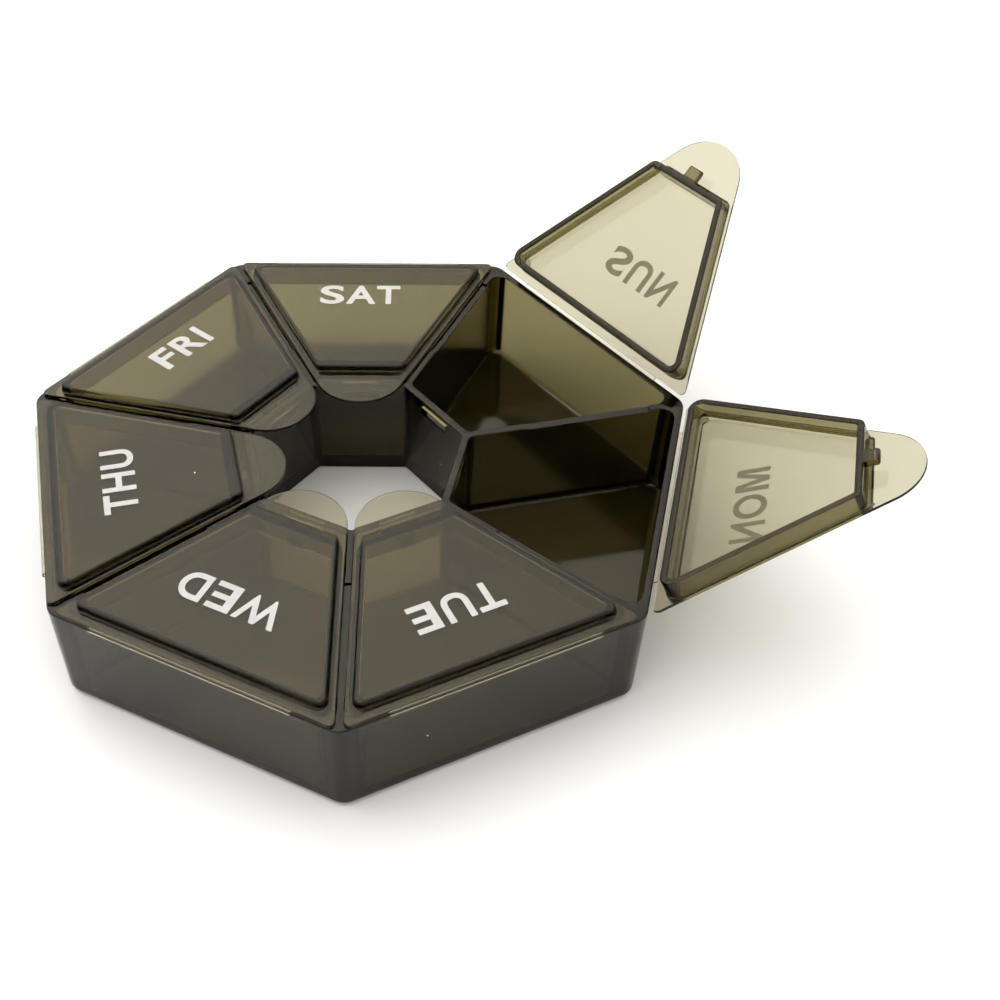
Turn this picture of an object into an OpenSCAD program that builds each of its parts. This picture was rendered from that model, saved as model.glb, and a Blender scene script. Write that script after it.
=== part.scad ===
// Weekly pill organizer: a seven-sided ring tray, one compartment and one hinged lid for each day.
// Millimetres, +Z up. The ring's axis is Z, its base stands on z = 0, and Saturday faces +Y.
// Seen from above the days run clockwise from Saturday.

/* [Tray] */
// Radius of the rim, from the axis to a sharp corner
rim_r = 50; // [40:0.5:70]
// Height of the tray, base to rim
tray_h = 17; // [12:0.5:30]
// Outward lean of the outer wall
lean_deg = 1.5; // [0:0.25:4]
// Radius of the outer wall's upright corners
corner_r = 2.8; // [1:0.1:6]
// Radius of the edge around the base, less than the floor's thickness
base_edge_r = 1.3; // [0.5:0.1:2.4]
// Thickness of the outer wall
wall_t = 1.1; // [0.8:0.1:2]
// Thickness of the floor
floor_t = 1.4; // [0.8:0.1:2.5]
// Thickness of the radial dividers
divider_t = 1.2; // [0.8:0.1:2]
// Depth of the shallow step along the top of each divider
divider_step = 0.3; // [0:0.05:0.6]

/* [Centre well] */
// Radius of the open well, from the axis to a sharp corner
well_r = 15.8; // [12:0.1:22]
// Thickness of the well's wall
well_t = 1.2; // [0.8:0.1:2]
// Width of each latch window
window_w = 5.6; // [3:0.1:8]
// Height of each latch window
window_h = 1.3; // [0.8:0.1:2]
// Distance from the rim down to each latch window
window_drop = 1.3; // [0.8:0.1:3]

/* [Lids] */
// Thickness of a lid's plate
lid_t = 0.45; // [0.4:0.05:1.5]
// Half of the slit between two neighbouring lids
lid_slit = 0.5; // [0.3:0.05:1]
// How far a lid's hinge edge stands back from the rim's outer face
lid_setback = 0.15; // [0.1:0.05:1]
// Radius of the corners at the hinge edge
lid_corner_r = 0.8; // [0.5:0.1:4]
// Distance from the axis to the tip of the thumb tab
tab_reach = 10.2; // [9:0.1:14]
// Height of the raised panel above the plate
panel_h = 1.1; // [0.5:0.1:2]
// Thickness of the raised panel's top
panel_t = 0.55; // [0.4:0.05:1.5]
// Distance from the panel's side to the radial line between two lids
panel_side = 1.6; // [1:0.05:3]
// Distance from the plate's hinge edge to the panel
panel_back = 1.7; // [1:0.1:4]
// Distance from the axis to the panel's inner edge
panel_front = 17.2; // [16:0.1:22]
// Depth of the skirt under a lid
skirt_h = 2.5; // [1.5:0.1:4]
// Thickness of the skirt
skirt_t = 1; // [0.7:0.1:1.6]
// Distance from the skirt to the radial line between two lids
skirt_side = 1.15; // [0.9:0.05:2]
// Clearance between the skirt and the outer wall
skirt_clear = 0.5; // [0.3:0.05:1]
// Distance from the axis to the skirt's inner end
skirt_front = 17.7; // [16.5:0.1:22]
// Width of the latch nub
nub_w = 2.3; // [1:0.1:5]
// Height of the latch nub
nub_h = 1.1; // [0.6:0.1:1.6]
// Clearance between the latch nub and the well's wall
nub_clear = 0.15; // [0.1:0.05:0.5]

/* [Hinges] */
// Distance of the hinge axis outside the rim
hinge_out = 0.15; // [0.1:0.05:0.8]
// Length of the hinge film
film_len = 30; // [15:0.5:36]
// Thickness of the hinge film
film_t = 0.2; // [0.15:0.05:0.4]

/* [Pose] */
// How far Sunday's lid is open
sunday_open = 138; // [0:1:180]
// How far Monday's lid is open
monday_open = 154; // [0:1:180]

/* [Hidden] */
days = ["saturday", "sunday", "monday", "tuesday", "wednesday", "thursday", "friday"];
turn = 360 / len(days);
half = turn / 2;
seat = 0.05;                              // air between a closed lid and the rim
rim_a = rim_r * cos(half);                // distance from the axis to the rim's outer face
base_a = rim_a - tray_h * tan(lean_deg);  // the same at the base
cavity_a = rim_a - wall_t;                // distance to the outer wall's inner face, at the rim
cavity_r = corner_r - wall_t;
well_a = well_r * cos(half);
well_out_a = well_a + well_t;
hinge_y = rim_a + hinge_out;
lid_y = rim_a - lid_setback;
skirt_y = cavity_a - skirt_clear;
panel_top = seat + lid_t + panel_h;
panel_under = panel_top - panel_t;
film_z = seat + lid_t / 2;                // height at which a film meets its lid
opening = [0, sunday_open, monday_open, 0, 0, 0, 0];
smoke = [0.33, 0.31, 0.26, 0.72];
arc_steps = 6;

// ---- outlines -------------------------------------------------------------------------------

function unit(v) = v / norm(v);

// Points of one rounded corner at b, between its neighbours a and c
function corner(a, b, c, r, n = arc_steps) =
    let(u = unit(a - b), v = unit(c - b), m = unit(u + v),
        s = sqrt((1 - u * v) / 2),                  // sine of half the corner's angle
        o = b + m * r / s,
        p = b + u * (u * (o - b)) - o,
        q = b + v * (v * (o - b)) - o,
        start = atan2(p[1], p[0]), end = atan2(q[1], q[0]),
        sweep = end - start - 360 * round((end - start) / 360))
    [for (i = [0:n]) o + r * [cos(start + sweep * i / n), sin(start + sweep * i / n)]];

// A closed outline with its corners rounded; each point is [x, y, radius]
function rounded(pts) =
    [for (i = [0:len(pts) - 1])
        let(k = len(pts), a = pts[(i + k - 1) % k], b = pts[i], c = pts[(i + 1) % k])
        each corner([a[0], a[1]], [b[0], b[1]], [c[0], c[1]], b[2])];

// The ring's seven-sided outline at distance a from the axis, corners rounded to r
function ring_outline(a, r) =
    rounded([for (i = [0:6]) let(t = -90 + i * turn, k = a / cos(half)) [k * cos(t), k * sin(t), r]]);

// The outer side of that outline facing +Y, from the middle of one corner to the middle of the next
function side_outline(a, r) =
    let(k = a / cos(half), u = [k * cos(90 - half), k * sin(90 - half)],
        v = [k * cos(90 + half), k * sin(90 + half)],
        before = [k * cos(90 - half - turn), k * sin(90 - half - turn)],
        after = [k * cos(90 + half + turn), k * sin(90 + half + turn)],
        c = corner(before, u, v, r), d = corner(u, v, after, r), mid = arc_steps / 2)
    concat([for (i = [mid:arc_steps]) c[i]], [for (i = [0:mid]) d[i]]);

function ring_sharp(a) =
    [for (i = [0:6]) let(t = -90 + i * turn, k = a / cos(half)) [k * cos(t), k * sin(t)]];

// Half width of a day's wedge at distance y from the axis, s short of the radial line
function wedge(y, s) = y * tan(half) - s / cos(half);

// A day's wedge from y0 out to y1, s short of the radial lines
function wedge_outline(y0, y1, s, r0, r1) =
    rounded([[-wedge(y0, s), y0, r0], [wedge(y0, s), y0, r0],
             [wedge(y1, s), y1, r1], [-wedge(y1, s), y1, r1]]);

// A lid's plate: a wedge whose inner end is the round thumb tab
tab_r = (tab_reach * sin(half) - lid_slit) / (1 - sin(half));
function plate_outline() =
    concat([for (i = [0:2 * arc_steps])
                let(t = -180 + half + (180 - 2 * half) * i / (2 * arc_steps))
                [tab_r * cos(t), tab_reach + tab_r + tab_r * sin(t)]],
           corner([0, lid_slit / sin(half)], [wedge(lid_y, lid_slit), lid_y], [0, lid_y], lid_corner_r),
           corner([0, lid_y], [-wedge(lid_y, lid_slit), lid_y], [0, lid_slit / sin(half)], lid_corner_r));

// ---- building blocks --------------------------------------------------------------------------

// An outline raised to height z
function level(outline, z) = [for (p = outline) [p[0], p[1], z]];

// A solid through a row of closed sections, each a list of the same number of points
module loft(sections) {
    n = len(sections[0]);
    last = len(sections) - 1;
    polyhedron([for (s = sections) each s],
        concat([[for (j = [0:n - 1]) j], [for (j = [n - 1:-1:0]) last * n + j]],
               [for (i = [0:last - 1], j = [0:n - 1])
                   [i * n + j, (i + 1) * n + j, (i + 1) * n + (j + 1) % n, i * n + (j + 1) % n]]),
        convexity = 4);
}

module at_day(k) rotate([0, 0, -k * turn]) children();

// ---- the tray -----------------------------------------------------------------------------------

// Distances from the axis to the outer wall's two faces at height z
function outer_at(z) = base_a + z * tan(lean_deg);
function cavity_at(z) = outer_at(z) - wall_t;

module tray_floor() color(smoke) {
    steps = 4;
    turns = [for (i = [0:steps]) 90 * i / steps];
    difference() {
        loft(concat([for (t = turns) let(d = base_edge_r * (1 - sin(t)))
                        level(ring_outline(base_a - d, corner_r - d), base_edge_r * (1 - cos(t)))],
                    [level(ring_outline(outer_at(floor_t), corner_r), floor_t)]));
        translate([0, 0, -1]) linear_extrude(floor_t + 2) polygon(ring_sharp(well_out_a));
    }
}

// The outer wall of day k, with its half of each rounded corner
module wall(k) color(smoke) {
    sides = [side_outline(outer_at(floor_t), corner_r), side_outline(rim_a, corner_r),
             side_outline(cavity_a, cavity_r), side_outline(cavity_at(floor_t), cavity_r)];
    heights = [floor_t, tray_h, tray_h, floor_t];
    at_day(k) loft([for (i = [0:len(sides[0]) - 1])
                       [for (j = [0:3]) [sides[j][i][0], sides[j][i][1], heights[j]]]]);
}

module tray_well_wall() color(smoke)
    difference() {
        linear_extrude(tray_h) difference() {
            polygon(ring_sharp(well_out_a));
            polygon(ring_sharp(well_a));
        }
        for (k = [0:6]) at_day(k)
            translate([-window_w / 2, well_a - 1, tray_h - window_drop - window_h])
                cube([window_w, well_t + 2, window_h]);
    }

// The divider on the clockwise side of day k, with a shallow step along its top
module divider(k) color(smoke) {
    inner = well_out_a / cos(half) - 0.3;
    edge = cavity_r * (1 / cos(half) - 1) + 0.04;
    step_from = 25.5;
    step_to = 44.5;
    at_day(k) rotate([0, 0, 90 - half]) difference() {
        rotate([90, 0, 0]) translate([0, 0, -divider_t / 2]) linear_extrude(divider_t)
            polygon([[inner, floor_t], [cavity_at(floor_t) / cos(half) - edge, floor_t],
                     [cavity_a / cos(half) - edge, tray_h],
                     [step_to, tray_h], [step_to, tray_h - divider_step],
                     [step_from, tray_h - divider_step], [step_from, tray_h], [inner, tray_h]]);
        rotate([0, 0, half - 90 + k * turn]) translate([0, 0, -1]) linear_extrude(tray_h + 2)
            rotate([0, 0, -k * turn]) polygon(ring_sharp(well_out_a));
    }
}

// ---- a lid --------------------------------------------------------------------------------------

// One lid, closed, with the rim at z = 0
module closed_lid() {
    nub_r = nub_h / 2;
    nub_tip = well_out_a + nub_clear;
    nub_z = -window_drop - window_h / 2;
    difference() {
        union() {
            translate([0, 0, seat]) linear_extrude(lid_t) polygon(plate_outline());
            translate([0, 0, seat + lid_t]) linear_extrude(panel_h)
                polygon(wedge_outline(panel_front, lid_y - panel_back, panel_side, 0.6, 1));
            translate([0, 0, -skirt_h]) linear_extrude(skirt_h + seat + lid_t / 2)
                polygon(wedge_outline(skirt_front, skirt_y, skirt_side, 1.2, 1.8));
        }
        translate([0, 0, -skirt_h - 1]) linear_extrude(skirt_h + 1 + panel_under)
            polygon(wedge_outline(skirt_front + skirt_t, skirt_y - skirt_t,
                                  skirt_side + skirt_t, 0.5, 0.9));
    }
    translate([-nub_w / 2, nub_tip + nub_r, nub_z]) rotate([0, 90, 0])
        cylinder(h = nub_w, r = nub_r, $fn = 32);
    translate([-nub_w / 2, nub_tip + nub_r, nub_z - nub_r])
        cube([nub_w, skirt_front - nub_tip - nub_r + skirt_t / 2, nub_h]);
}

module lid(k) color(smoke)
    at_day(k) translate([0, hinge_y, tray_h]) rotate([-opening[k], 0, 0])
        translate([0, -hinge_y, 0]) closed_lid();

// ---- a hinge film -------------------------------------------------------------------------------

// Turns [y, z] about the hinge axis as the lid opens by a
function swung(p, a) = [p[0] * cos(a) + p[1] * sin(a), -p[0] * sin(a) + p[1] * cos(a)];

function bezier(p, t) =
    pow(1 - t, 3) * p[0] + 3 * t * pow(1 - t, 2) * p[1] + 3 * t * t * (1 - t) * p[2] + pow(t, 3) * p[3];
function bezier_way(p, t) =
    3 * pow(1 - t, 2) * (p[1] - p[0]) + 6 * t * (1 - t) * (p[2] - p[1]) + 3 * t * t * (p[3] - p[2]);

// A thin bent strip from the rim's outer face to the plate's hinge edge
module film(k) color(smoke) {
    a = opening[k];
    reach = 0.42 - 0.25 * a / 180;
    path = [[-hinge_out, -0.35], [-hinge_out + reach, -0.35],
            swung([-hinge_out - lid_setback + reach + 0.15 * (1 - a / 180), film_z], a),
            swung([-hinge_out - lid_setback, film_z], a)];
    n = 8;
    side = [for (i = [0:n]) let(t = i / n, w = unit(bezier_way(path, t))) [-w[1], w[0]] * film_t / 2];
    outline = concat([for (i = [0:n]) bezier(path, i / n) + side[i]],
                     [for (i = [n:-1:0]) bezier(path, i / n) - side[i]]);
    at_day(k) translate([-film_len / 2, hinge_y, tray_h]) rotate([90, 0, 90])
        linear_extrude(film_len) polygon(outline);
}

// ---- nodes --------------------------------------------------------------------------------------

tray_floor();
tray_well_wall();
wall(0);  // wall_saturday
wall(1);  // wall_sunday
wall(2);  // wall_monday
wall(3);  // wall_tuesday
wall(4);  // wall_wednesday
wall(5);  // wall_thursday
wall(6);  // wall_friday
divider(0);  // divider_saturday_sunday
divider(1);  // divider_sunday_monday
divider(2);  // divider_monday_tuesday
divider(3);  // divider_tuesday_wednesday
divider(4);  // divider_wednesday_thursday
divider(5);  // divider_thursday_friday
divider(6);  // divider_friday_saturday
lid(0);  // lid_saturday
lid(1);  // lid_sunday
lid(2);  // lid_monday
lid(3);  // lid_tuesday
lid(4);  // lid_wednesday
lid(5);  // lid_thursday
lid(6);  // lid_friday
film(0);  // hinge_saturday
film(1);  // hinge_sunday
film(2);  // hinge_monday
film(3);  // hinge_tuesday
film(4);  // hinge_wednesday
film(5);  // hinge_thursday
film(6);  // hinge_friday
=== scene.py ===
"""Travel pill organizer: a seven-sided smoke plastic tray with seven film-hinged lids."""

import math

import bmesh
import bpy
from mathutils import Matrix, Vector
from mathutils.geometry import tessellate_polygon


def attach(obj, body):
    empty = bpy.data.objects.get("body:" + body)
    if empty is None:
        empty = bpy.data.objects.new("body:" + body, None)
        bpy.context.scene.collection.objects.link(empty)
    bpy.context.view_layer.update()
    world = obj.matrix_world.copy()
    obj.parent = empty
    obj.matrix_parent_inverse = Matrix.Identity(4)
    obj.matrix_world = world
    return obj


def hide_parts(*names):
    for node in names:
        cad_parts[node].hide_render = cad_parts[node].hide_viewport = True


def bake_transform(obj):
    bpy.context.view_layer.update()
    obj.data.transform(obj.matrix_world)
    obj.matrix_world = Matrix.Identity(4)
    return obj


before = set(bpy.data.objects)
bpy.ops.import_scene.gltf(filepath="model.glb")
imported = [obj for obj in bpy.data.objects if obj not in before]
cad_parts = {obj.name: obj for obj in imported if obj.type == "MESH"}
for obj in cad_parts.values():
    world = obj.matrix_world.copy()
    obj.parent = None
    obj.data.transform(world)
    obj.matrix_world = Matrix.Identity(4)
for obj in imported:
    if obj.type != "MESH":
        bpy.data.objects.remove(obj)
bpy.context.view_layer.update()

MM = 0.001
DAYS = ["saturday", "sunday", "monday", "tuesday", "wednesday", "thursday", "friday"]
TURN = 2 * math.pi / 7
HALF = TURN / 2

# ---- sizes in millimetres, the same as the CAD part's ----------------------------------------

# The tray
RIM_R = 50
RIM_A = RIM_R * math.cos(HALF)
TRAY_H = 17.0
LEAN = math.radians(1.5)
CORNER_R = 2.8
BASE_EDGE = 1.3
WALL_T, FLOOR_T, DIVIDER_T = 1.1, 1.4, 1.2
WELL_R, WELL_T = 15.8, 1.2
WELL_A = WELL_R * math.cos(HALF)
WELL_OUT = WELL_A + WELL_T
WELL_CORNER_R = 0.4
POCKET_IN_R, POCKET_OUT_R = 1.2, 1.7
POCKET_FILLET = 0.7
LIP_R = 0.22
WELL_BASE_R = 0.25

# A latch window in the well's wall: half its width, and its ends below the rim
WINDOW_HALF, WINDOW_LOW, WINDOW_HIGH = 2.8, 2.6, 1.3
# The shallow step along a divider's top: half its width, its ends from the axis, its depth
STEP_HALF, STEP_IN, STEP_OUT, STEP_DEEP = 1.2, 25.5, 44.5, 0.3
# How far a cutting box passes through what it cuts
PAST = 1

# The lids: plate, thumb tab and raised panel
HINGE_OUT, LID_SETBACK = 0.15, 0.15
HINGE_Y = RIM_A + HINGE_OUT
LID_Y = RIM_A - LID_SETBACK
SLIT = 0.5
TAB_REACH = 10.2
TAB_R = (TAB_REACH * math.sin(HALF) - SLIT) / (1 - math.sin(HALF))
SEAT, LID_T, PANEL_H, PANEL_T = 0.05, 0.45, 1.1, 0.55
PLATE_TOP = SEAT + LID_T
PANEL_TOP = PLATE_TOP + PANEL_H
PLATE_CORNER_R = 0.8
PLATE_TOP_R, PLATE_BASE_R = 0.16, 0.14
PANEL_FRONT, PANEL_BACK, PANEL_SIDE = 17.2, 1.7, 1.6
PANEL_IN_R, PANEL_OUT_R = 0.6, 1
PANEL_EDGE_R, PANEL_ROOT_R = 0.35, 0.25

# The skirt under each lid
SKIRT_H, SKIRT_T = 2.5, 1
SKIRT_FRONT, SKIRT_GAP, SKIRT_SIDE = 17.7, 0.5, 1.15
SKIRT_IN_R, SKIRT_OUT_R = 1.2, 1.8
HOLLOW_IN_R, HOLLOW_OUT_R = 0.5, 0.9
SKIRT_ROOT_R, SKIRT_EDGE_R, CEILING_R = 0.2, 0.25, 0.3

# The latch nub: half its width, its gap to the well's wall and its nose's radius, then its
# middle below the rim, its root's distance from the axis, and its ends' chamfer
NUB_HALF, NUB_GAP, NUB_R = 1.15, 0.15, 0.55
NUB_MID, NUB_ROOT = 1.95, 18.1
NUB_CHAMFER, NUB_CHAMFER_Y = 0.12, 0.6

# The hinge films: half their length and thickness, how far below the rim they start and how
# far their ends go into the plastic, then how far the bend bulges out: when closed, how much
# less when fully open, and how much more on the closed lid's side
FILM_HALF, FILM_T_HALF = 15.0, 0.1
FILM_DEEP, FILM_INSET = 0.35, 0.1
BULGE, BULGE_LESS, BULGE_LID = 0.36, 0.19, 0.15

# How far each lid stands open at rest, in degrees
OPENING = [0, 138, 154, 0, 0, 0, 0]

# How far the floor lies below the tray's base
FLOOR_GAP = 0.08

# The print: its em and cap height, half its thickness, what is added round each stroke, its
# gap to the panel, and each word's middle and foot on its lid
EM, CAP_H, INK_HALF = 6.6, 4.75, 0.02
STROKE_OUT, INK_GAP = 0.16, 0.005
WORD_X = [-0.7, 0.9, 1.6, 0.5, 0.5, -0.7, -0.8]
WORD_Y = [32.4, 31.1, 31.4, 31.7, 31.2, 31.6, 32.6]
# Each letter's left edge, width and advance, in ems
LETTERS = {
    "A": (0.0, 0.72, 0.72),
    "D": (0.07, 0.6, 0.72),
    "E": (0.07, 0.55, 0.67),
    "F": (0.07, 0.49, 0.61),
    "H": (0.07, 0.58, 0.72),
    "I": (0.07, 0.15, 0.28),
    "M": (0.07, 0.69, 0.83),
    "N": (0.07, 0.57, 0.72),
    "O": (0.04, 0.7, 0.78),
    "R": (0.07, 0.65, 0.72),
    "S": (0.04, 0.58, 0.67),
    "T": (0.02, 0.57, 0.61),
    "U": (0.07, 0.58, 0.72),
    "W": (0.0, 0.94, 0.94),
}


# ---- outlines, each a list of (x, y) in millimetres ------------------------------------------


def corner(a, b, c, r, n=8):
    """The arc of radius r that rounds the corner at b, between a and c."""
    a, b, c = Vector(a), Vector(b), Vector(c)
    u, v = (a - b).normalized(), (c - b).normalized()
    s = math.sqrt((1 - u.dot(v)) / 2)
    o = b + (u + v).normalized() * r / s
    p, q = b + u * u.dot(o - b) - o, b + v * v.dot(o - b) - o
    start = math.atan2(p.y, p.x)
    sweep = math.remainder(math.atan2(q.y, q.x) - start, 2 * math.pi)
    angles = [start + sweep * i / n for i in range(n + 1)]
    return [(o.x + r * math.cos(t), o.y + r * math.sin(t)) for t in angles]


def rounded(points):
    """Rounds the corners of an outline whose points are (x, y, radius)."""
    n = len(points)
    out = []
    for i, (x, y, r) in enumerate(points):
        out += corner(points[i - 1][:2], (x, y), points[(i + 1) % n][:2], r)
    return out


def ring(a, r):
    """A heptagon with its sides at distance a and its corners rounded."""
    k = a / math.cos(HALF)
    at = [-math.pi / 2 + i * TURN for i in range(7)]
    return rounded([(k * math.cos(t), k * math.sin(t), r) for t in at])


def wedge(y0, y1, s, r0, r1, d=0.0):
    """A day's wedge from y0 to y1, s short of the radial lines, its edge moved in by d."""
    y0, y1, s, r0, r1 = y0 + d, y1 - d, s + d, r0 - d, r1 - d

    def x(y):
        return y * math.tan(HALF) - s / math.cos(HALF)

    return rounded([(-x(y0), y0, r0), (x(y0), y0, r0), (x(y1), y1, r1), (-x(y1), y1, r1)])


def plate(d=0.0):
    """A lid's plate, which ends in the round thumb tab."""
    r, cy = TAB_R - d, TAB_REACH + TAB_R
    arc = [-math.pi + HALF + (math.pi - 2 * HALF) * i / 32 for i in range(33)]
    s, y = SLIT + d, LID_Y - d
    x = y * math.tan(HALF) - s / math.cos(HALF)
    foot = (0, s / math.sin(HALF))
    return (
        [(r * math.cos(t), cy + r * math.sin(t)) for t in arc]
        + corner(foot, (x, y), (0, y), PLATE_CORNER_R - d)
        + corner((0, y), (-x, y), foot, PLATE_CORNER_R - d)
    )


def panel(d=0.0):
    """The raised panel, its edge moved in by d."""
    return wedge(PANEL_FRONT, LID_Y - PANEL_BACK, PANEL_SIDE, PANEL_IN_R, PANEL_OUT_R, d)


def skirt_out(d=0.0):
    """The skirt's outside, its edge moved in by d."""
    back = RIM_A - WALL_T - SKIRT_GAP
    return wedge(SKIRT_FRONT, back, SKIRT_SIDE, SKIRT_IN_R, SKIRT_OUT_R, d)


def skirt_in(d=0.0):
    """The skirt's inside, which goes on up as the hollow under the panel."""
    front, back = SKIRT_FRONT + SKIRT_T, RIM_A - WALL_T - SKIRT_GAP - SKIRT_T
    return wedge(front, back, SKIRT_SIDE + SKIRT_T, HOLLOW_IN_R, HOLLOW_OUT_R, d)


def pocket(z, d=0.0):
    """A compartment's outline at height z."""
    back = RIM_A - (TRAY_H - z) * math.tan(LEAN) - WALL_T
    return wedge(WELL_OUT, back, DIVIDER_T / 2, POCKET_IN_R, POCKET_OUT_R, d)


def turned(outline, k):
    """An outline turned from Saturday's side to day k's."""
    c, s = math.cos(-k * TURN), math.sin(-k * TURN)
    return [(c * x - s * y, s * x + c * y) for x, y in outline]


# ---- solids built from rings of points -------------------------------------------------------


class Solid:
    def __init__(self):
        self.points, self.faces = [], []

    def ring(self, outline, z):
        first = len(self.points)
        self.points += [(x, y, z) for x, y in outline]
        return list(range(first, len(self.points)))

    def band(self, a, b):
        n = len(a)
        self.faces += [(a[i], a[(i + 1) % n], b[(i + 1) % n], b[i]) for i in range(n)]

    def stack(self, rings):
        """Bands through a row of (outline, z); gives the first and last ring."""
        made = [self.ring(o, z) for o, z in rings]
        for a, b in zip(made, made[1:]):
            self.band(a, b)
        return made[0], made[-1]

    def sheet(self, outer, *holes):
        """A flat face within outer, round the holes."""
        loops = [outer, *holes]
        flat = [i for loop in loops for i in loop]
        spots = [[Vector(self.points[i]) for i in loop] for loop in loops]
        self.faces += [tuple(flat[i] for i in t) for t in tessellate_polygon(spots)]

    def mesh(self, name):
        me = bpy.data.meshes.new(name)
        me.from_pydata([tuple(c * MM for c in p) for p in self.points], [], self.faces)
        bm = bmesh.new()
        bm.from_mesh(me)
        bmesh.ops.recalc_face_normals(bm, faces=bm.faces)
        bm.to_mesh(me)
        bm.free()
        return me


def quarter(n):
    """The angles of a quarter turn in n steps."""
    return [math.pi / 2 * i / n for i in range(n + 1)]


def outward(shape, z_top, r, down=True, n=4):
    """A rounded outer edge: the rings from the flat face at z_top to the side."""
    sign = -1 if down else 1
    return [
        (shape(r * (1 - math.sin(t))), z_top + sign * r * (1 - math.cos(t))) for t in quarter(n)
    ]


def inward(shape, z_base, r, up=True, n=3):
    """A rounded inner corner: the rings from the side to the flat face at z_base."""
    sign = 1 if up else -1
    return [
        (shape(-r * (1 - math.cos(t))), z_base + sign * r * (1 - math.sin(t))) for t in quarter(n)
    ]


def add(name, data):
    ob = bpy.data.objects.new(name, data)
    bpy.context.scene.collection.objects.link(ob)
    return ob


def box(solid, x, y, z, k=0):
    """A box over the ranges x, y and z, turned to day k's side."""
    corners = [(x[0], y[0]), (x[1], y[0]), (x[1], y[1]), (x[0], y[1])]
    low, high = solid.stack([(turned(corners, k), z[0]), (turned(corners, k), z[1])])
    solid.faces += [tuple(reversed(low)), tuple(high)]


def evaluated_mesh(ob):
    return bpy.data.meshes.new_from_object(ob.evaluated_get(bpy.context.evaluated_depsgraph_get()))


def combined(ob, tool, operation):
    """ob with tool cut from it or joined to it, as one new mesh."""
    mod = ob.modifiers.new("bool", "BOOLEAN")
    mod.operation, mod.object, mod.solver = operation, tool, "EXACT"
    me = evaluated_mesh(ob)
    ob.modifiers.clear()
    ob.data = me
    bpy.data.objects.remove(tool)
    return ob


def shade(ob, angle=40):
    """Smooth shading, sharp past the angle, with normals led by the larger faces."""
    me = ob.data
    for p in me.polygons:
        p.use_smooth = True
    me.set_sharp_from_angle(angle=math.radians(angle))
    mod = ob.modifiers.new("normals", "WEIGHTED_NORMAL")
    mod.keep_sharp = True
    mod.weight = 100


# ---- the tray --------------------------------------------------------------------------------


def tray_outer(z):
    """The tray's outside at height z, as a shape of the distance that its edge moves in."""
    return lambda d: ring(RIM_A - (TRAY_H - z) * math.tan(LEAN) - d, CORNER_R - d)


def well(d):
    """The open centre, its edge moved out by d."""
    return ring(WELL_A + d, WELL_CORNER_R + d)


def pocket_rings(k):
    """Day k's compartment, from the lip at the rim to the fillet at the floor."""
    lip = inward(lambda d: pocket(TRAY_H, d), TRAY_H, LIP_R, up=False)[::-1]
    rings = [(turned(outline, k), z) for outline, z in lip]
    for t in quarter(5):
        z = FLOOR_T + POCKET_FILLET * (1 - math.sin(t))
        rings.append((turned(pocket(z, POCKET_FILLET * (1 - math.cos(t))), k), z))
    return rings


def tray_cutter():
    """The latch windows in the well's wall and the steps along the dividers' tops."""
    cut = Solid()
    for k in range(7):
        window = (TRAY_H - WINDOW_LOW, TRAY_H - WINDOW_HIGH)
        box(cut, (-WINDOW_HALF, WINDOW_HALF), (WELL_A - PAST, WELL_OUT + PAST), window, k)
        step = (TRAY_H - STEP_DEEP, TRAY_H + PAST)
        box(cut, (-STEP_HALF, STEP_HALF), (STEP_IN, STEP_OUT), step, k + 0.5)
    return add("cutter", cut.mesh("cutter"))


def tray_moulding():
    s = Solid()
    edge = outward(tray_outer(0), 0, BASE_EDGE, down=False, n=6)
    rim = outward(tray_outer(TRAY_H), TRAY_H, LIP_R)
    base, top = s.stack(edge + rim[::-1])
    foot = outward(well, 0, WELL_BASE_R, down=False)
    well_base, well_top = s.stack(foot + outward(well, TRAY_H, LIP_R)[::-1])
    mouths = []
    for k in range(7):
        mouth, bottom = s.stack(pocket_rings(k))
        mouths.append(mouth)
        s.sheet(bottom)
    s.sheet(top, well_top, *mouths)
    s.sheet(base, well_base)
    tray = add("tray_moulding", s.mesh("tray_moulding"))
    return combined(tray, tray_cutter(), "DIFFERENCE")


# ---- a lid, closed, with the rim at z = 0 ----------------------------------------------------


def latch_nub():
    """The nub under the tab: a round nose on a short bar, its two ends chamfered."""
    nub = Solid()
    nose = WELL_OUT + NUB_GAP + NUB_R
    turns = [math.pi * i / 10 for i in range(11)]
    side = [(nose - NUB_R * math.sin(t), -NUB_MID - NUB_R * math.cos(t)) for t in turns]
    side += [(NUB_ROOT, -NUB_MID + NUB_R), (NUB_ROOT, -NUB_MID - NUB_R)]
    cy = sum(p[0] for p in side) / len(side)
    cz = sum(p[1] for p in side) / len(side)
    flat = NUB_HALF - NUB_CHAMFER
    ends = []
    for x, w in ((-NUB_HALF, NUB_CHAMFER), (-flat, 0), (flat, 0), (NUB_HALF, NUB_CHAMFER)):
        first = len(nub.points)
        nub.points += [(x, y + (cy - y) * w * NUB_CHAMFER_Y, z + (cz - z) * w) for y, z in side]
        ends.append(list(range(first, len(nub.points))))
    for a, b in zip(ends, ends[1:]):
        nub.band(a, b)
    nub.faces += [tuple(reversed(ends[0])), tuple(ends[-1])]
    return add("nub", nub.mesh("nub"))


def lid_hollow():
    """The hollow in the skirt, from its lower edge up to the panel's underside."""
    ceiling = PANEL_TOP - PANEL_T
    rings = []
    for t in quarter(4):
        z = -SKIRT_H + SKIRT_EDGE_R * (1 - math.cos(t))
        rings.append((skirt_in(-SKIRT_EDGE_R * (1 - math.sin(t))), z))
    for t in quarter(4):
        z = ceiling - CEILING_R * (1 - math.sin(t))
        rings.append((skirt_in(CEILING_R * (1 - math.cos(t))), z))
    return rings


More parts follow.
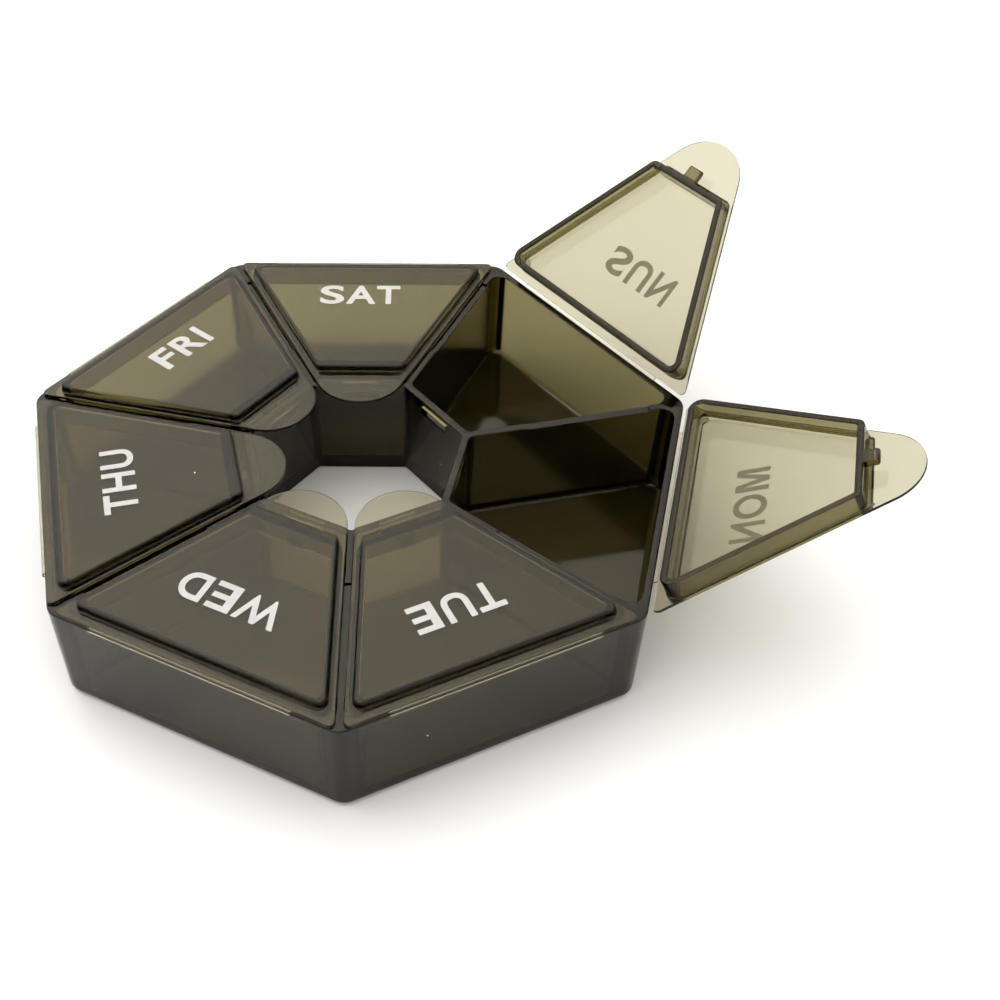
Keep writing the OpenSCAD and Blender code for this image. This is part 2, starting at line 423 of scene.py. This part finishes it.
def lid_mesh():
    s = Solid()
    raised = outward(panel, PANEL_TOP, PANEL_EDGE_R, n=5)
    top, root = s.stack(raised + inward(panel, PLATE_TOP, PANEL_ROOT_R))
    s.sheet(top)
    over = outward(plate, PLATE_TOP, PLATE_TOP_R)
    upper, lower = s.stack(over + outward(plate, SEAT, PLATE_BASE_R, down=False)[::-1])
    s.sheet(upper, root)
    skirt = inward(skirt_out, SEAT, SKIRT_ROOT_R, up=False)[::-1]
    skirt += outward(skirt_out, -SKIRT_H, SKIRT_EDGE_R, down=False)[::-1]
    under, foot = s.stack(skirt)
    s.sheet(lower, under)
    inner, roof = s.stack(lid_hollow())
    s.band(foot, inner)
    s.sheet(roof)
    lid = combined(add("lid", s.mesh("lid")), latch_nub(), "UNION")
    me = lid.data
    bpy.data.objects.remove(lid)
    return me


def to_day(k):
    """From the closed lid's own frame, in metres, to where day k's lid rests."""
    return (
        Matrix.Rotation(-k * TURN, 4, "Z")
        @ Matrix.Translation((0, HINGE_Y * MM, TRAY_H * MM))
        @ Matrix.Rotation(-math.radians(OPENING[k]), 4, "X")
        @ Matrix.Translation((0, -HINGE_Y * MM, 0))
    )


# ---- a hinge film ----------------------------------------------------------------------------


def swung(y, z, a):
    """A point beside the hinge line, turned about it by the angle a."""
    return Vector((y * math.cos(a) + z * math.sin(a), -y * math.sin(a) + z * math.cos(a)))


def film_bend(k):
    """The four control points of day k's film, as (y, z) from the hinge line."""
    a, share = math.radians(OPENING[k]), OPENING[k] / 180
    reach = BULGE - BULGE_LESS * share
    edge, z = LID_Y - HINGE_Y, SEAT + LID_T / 2
    return [
        Vector((-HINGE_OUT - FILM_INSET, -FILM_DEEP)),
        Vector((-HINGE_OUT + reach, -FILM_DEEP)),
        swung(edge + reach + BULGE_LID * (1 - share), z, a),
        swung(edge - FILM_INSET, z, a),
    ]


def bezier(p, t):
    """The point and the direction at t along the curve with control points p."""
    u = 1 - t
    at = u**3 * p[0] + 3 * t * u**2 * p[1] + 3 * t * t * u * p[2] + t**3 * p[3]
    way = u**2 * (p[1] - p[0]) + 2 * t * u * (p[2] - p[1]) + t * t * (p[3] - p[2])
    return at, way.normalized()


def film_mesh(k):
    """Day k's film where it rests, and the two ends of its bend."""
    p = film_bend(k)
    n = 12
    section = []
    for side in (1, -1):
        row = []
        for i in range(n + 1):
            at, way = bezier(p, i / n)
            row.append(at + side * FILM_T_HALF * Vector((-way.y, way.x)))
        section += row if side == 1 else row[::-1]
    s = Solid()
    rings = []
    for share in (-1, -0.5, 0, 0.5, 1):
        first = len(s.points)
        s.points += [(share * FILM_HALF, HINGE_Y + v.x, TRAY_H + v.y) for v in section]
        rings.append(list(range(first, len(s.points))))
    for a, b in zip(rings, rings[1:]):
        s.band(a, b)
    m = len(section)
    for r in (rings[0], rings[-1]):
        s.faces += [(r[i], r[i + 1], r[m - 2 - i], r[m - 1 - i]) for i in range(n)]
    me = s.mesh(f"{DAYS[k]}_hinge_film")
    me.transform(Matrix.Rotation(-k * TURN, 4, "Z"))
    return me, p[0], p[3]


# ---- materials -------------------------------------------------------------------------------


def node(tree, kind, **inputs):
    """A new node, with each input linked to a socket or set to a value."""
    n = tree.nodes.new(kind)
    for key, value in inputs.items():
        key = key.replace("_", " ")
        if isinstance(value, bpy.types.NodeSocket):
            tree.links.new(value, n.inputs[key])
        else:
            n.inputs[key].default_value = value
    return n


def map_range(tree, value, low, high, to_low, to_high):
    limits = {"From_Min": low, "From_Max": high, "To_Min": to_low, "To_Max": to_high}
    return node(tree, "ShaderNodeMapRange", Value=value, **limits)


def ramp(tree, value, dark, light):
    n = node(tree, "ShaderNodeValToRGB", Fac=value)
    n.color_ramp.elements[0].color = dark
    n.color_ramp.elements[1].color = light
    return n


def object_space(tree):
    return tree.nodes.new("ShaderNodeTexCoord").outputs["Object"]


def smoke_plastic(name, density):
    """Clear plastic that takes up light inside, with a faintly uneven, hand-rubbed gloss."""
    mat = bpy.data.materials.new(name)
    mat.use_nodes = True
    t = mat.node_tree
    t.nodes.clear()
    where = object_space(t)
    smudge = node(t, "ShaderNodeTexNoise", Vector=where, Scale=60.0, Detail=4.0, Roughness=0.6)
    rough = map_range(t, smudge.outputs["Fac"], 0.3, 0.75, 0.07, 0.13)
    tone = ramp(t, smudge.outputs["Fac"], (0.93, 0.93, 0.92, 1), (1, 1, 1, 1))
    fine = node(t, "ShaderNodeTexNoise", Vector=where, Scale=900.0, Detail=2.0, Roughness=0.5)
    bump = node(t, "ShaderNodeBump", Strength=0.06, Distance=0.00005, Height=fine.outputs["Fac"])
    # Sparse pale specks of dust, which let less light through
    dust = node(t, "ShaderNodeTexVoronoi", Vector=where, Scale=130.0)
    clear = map_range(t, dust.outputs["Distance"], 0.012, 0.02, 0.3, 1.0)
    bsdf = node(
        t,
        "ShaderNodeBsdfPrincipled",
        Base_Color=tone.outputs["Color"],
        Roughness=rough.outputs["Result"],
        Normal=bump.outputs["Normal"],
        IOR=1.49,
        Specular_Tint=(1.0, 0.93, 0.82, 1),
        Transmission_Weight=clear.outputs["Result"],
    )
    smoke_colour = (0.412, 0.365, 0.082, 1)
    inside = node(t, "ShaderNodeVolumeAbsorption", Color=smoke_colour, Density=density)
    out = t.nodes.new("ShaderNodeOutputMaterial")
    t.links.new(bsdf.outputs["BSDF"], out.inputs["Surface"])
    t.links.new(inside.outputs["Volume"], out.inputs["Volume"])
    return mat


def ink():
    """White print, thin enough to let some light through."""
    mat = bpy.data.materials.new("print_white")
    mat.use_nodes = True
    t = mat.node_tree
    bsdf = t.nodes["Principled BSDF"]
    patch = node(t, "ShaderNodeTexNoise", Vector=object_space(t), Scale=700.0, Detail=3.0)
    tone = ramp(t, patch.outputs["Fac"], (0.74, 0.73, 0.71, 1), (0.9, 0.89, 0.87, 1))
    t.links.new(tone.outputs["Color"], bsdf.inputs["Base Color"])
    bsdf.inputs["Roughness"].default_value = 0.6
    bsdf.inputs["Transmission Weight"].default_value = 0.45
    return mat


def paper_white():
    mat = bpy.data.materials.new("paper_white")
    mat.use_nodes = True
    shader = mat.node_tree.nodes["Principled BSDF"]
    shader.inputs["Base Color"].default_value = (0.9, 0.9, 0.9, 1)
    shader.inputs["Roughness"].default_value = 0.9
    shader.inputs["Specular IOR Level"].default_value = 0.1
    return mat


# ---- the printed days ------------------------------------------------------------------------


def upright_m():
    """An M with upright legs, a unit wide and high."""
    leg, notch, foot = 0.19, 0.3, 0.1
    inner_top, valley = 0.79, 0.32
    left = [(0, 0), (0, 1), (notch, 1), (0.5, valley)]
    right = [(1 - notch, 1), (1, 1), (1, 0), (1 - leg, 0), (1 - leg, inner_top)]
    middle = [(0.5 + foot, 0), (0.5 - foot, 0), (leg, inner_top), (leg, 0)]
    s = Solid()
    outline = left + right + middle
    under, over = s.stack([(outline, -INK_HALF), (outline, INK_HALF)])
    s.sheet(under)
    s.sheet(over)
    return s.mesh("letter")


def letter_mesh(letter):
    if letter == "M":
        return upright_m()
    cu = bpy.data.curves.new(letter, "FONT")
    cu.body = letter
    cu.size = EM * MM
    cu.offset = STROKE_OUT * MM
    cu.extrude = INK_HALF * MM
    ob = add("letter", cu)
    bpy.context.view_layer.update()
    me = evaluated_mesh(ob)
    bpy.data.objects.remove(ob)
    return me


def day_print(word, k):
    """A day's abbreviation in ink on the panel, its letters' tops facing outwards."""
    points, faces, start = [], [], 0.0
    for letter in word:
        me = letter_mesh(letter)
        left, wide, advance = LETTERS[letter]
        xs = [v.co.x for v in me.vertices]
        ys = [v.co.y for v in me.vertices]
        sx = wide * EM * MM / (max(xs) - min(xs))
        sy = CAP_H * MM / (max(ys) - min(ys))
        x0 = (start + left * EM) * MM
        first = len(points)
        for v in me.vertices:
            points.append((x0 + (v.co.x - min(xs)) * sx, (v.co.y - min(ys)) * sy, v.co.z))
        faces += [tuple(first + i for i in p.vertices) for p in me.polygons]
        start += advance * EM
    me = bpy.data.meshes.new(f"{DAYS[k]}_print")
    me.from_pydata(points, [], faces)
    centre = (max(p[0] for p in points) + min(p[0] for p in points)) / 2
    height = (PANEL_TOP + INK_HALF + INK_GAP) * MM
    me.transform(Matrix.Translation((WORD_X[k] * MM - centre, WORD_Y[k] * MM, height)))
    me.transform(to_day(k))
    return me


# ---- the pieces ------------------------------------------------------------------------------

smoke = smoke_plastic("smoke_plastic", 1700.0)
white_ink = ink()

tray = tray_moulding()
shade(tray)
tray.data.materials.clear()
tray.data.materials.append(smoke)
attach(tray, "tray")
parts = ["tray_floor", "tray_well_wall"] + [f"wall_{d}" for d in DAYS]
parts += [f"divider_{d}_{DAYS[(k + 1) % 7]}" for k, d in enumerate(DAYS)]
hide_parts(*parts)

closed = lid_mesh()
for k, d in enumerate(DAYS):
    me = closed.copy()
    me.transform(to_day(k))
    lid = add(f"{d}_lid_moulding", me)
    shade(lid)
    me.materials.clear()
    me.materials.append(smoke)
    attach(lid, f"{d}_lid")
    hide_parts(f"lid_{d}")

    word = add(f"{d}_print", day_print(d[:3].upper(), k))
    word.data.materials.append(white_ink)
    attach(word, f"{d}_lid")

    me, start, end = film_mesh(k)
    film = add(f"{d}_hinge_film", me)
    shade(film)
    me.materials.append(smoke)
    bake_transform(film)
    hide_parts(f"hinge_{d}")

# ---- floor, light and camera -----------------------------------------------------------------


def paper_floor():
    """A wide white sheet, just below the tray's base."""
    bm = bmesh.new()
    bmesh.ops.create_grid(bm, x_segments=1, y_segments=1, size=1.5)
    me = bpy.data.meshes.new("floor")
    bm.to_mesh(me)
    bm.free()
    me.materials.append(paper_white())
    ob = add("floor", me)
    ob.location.z = -FLOOR_GAP * MM
    return ob


def studio():
    """An even white room with a soft, brighter patch overhead, behind and to the left."""
    world = bpy.data.worlds.new("studio")
    world.use_nodes = True
    w = world.node_tree
    toward = w.nodes.new("ShaderNodeVectorMath")
    toward.operation = "DOT_PRODUCT"
    direction = w.nodes.new("ShaderNodeTexCoord").outputs["Generated"]
    w.links.new(direction, toward.inputs[0])
    toward.inputs[1].default_value = Vector((-0.3, 0.3, 0.9)).normalized()
    sky = map_range(w, toward.outputs["Value"], 0.65, 1.0, 0.85, 2.3)
    sky.interpolation_type = "SMOOTHSTEP"
    w.links.new(sky.outputs["Result"], w.nodes["Background"].inputs["Strength"])
    w.nodes["Background"].inputs["Color"].default_value = (1, 0.985, 0.955, 1)
    return world


def main_camera():
    """The view from in front and above, fitted to the ring's straight edges."""
    cam = bpy.data.cameras.new("camera")
    sensor_width = 36
    cam.lens = 1.4779 * sensor_width
    cam.shift_x = 0.09
    cam.clip_start = 0.01
    right = Vector((0.9999, 0.0162, -0.0049))
    down = Vector((0.0081, -0.7101, -0.7041))
    ahead = Vector((-0.0148, 0.7039, -0.7101))
    ob = add("camera", cam)
    pose = Matrix((right, -down, -ahead)).transposed().to_4x4()
    ob.matrix_world = Matrix.Translation(Vector((11.07, -155.67, 164.0)) * MM) @ pose
    return ob


paper_floor()
scene = bpy.context.scene
scene.world = studio()
scene.camera = main_camera()
scene.view_settings.view_transform = "Standard"
scene.view_settings.look = "Medium High Contrast"
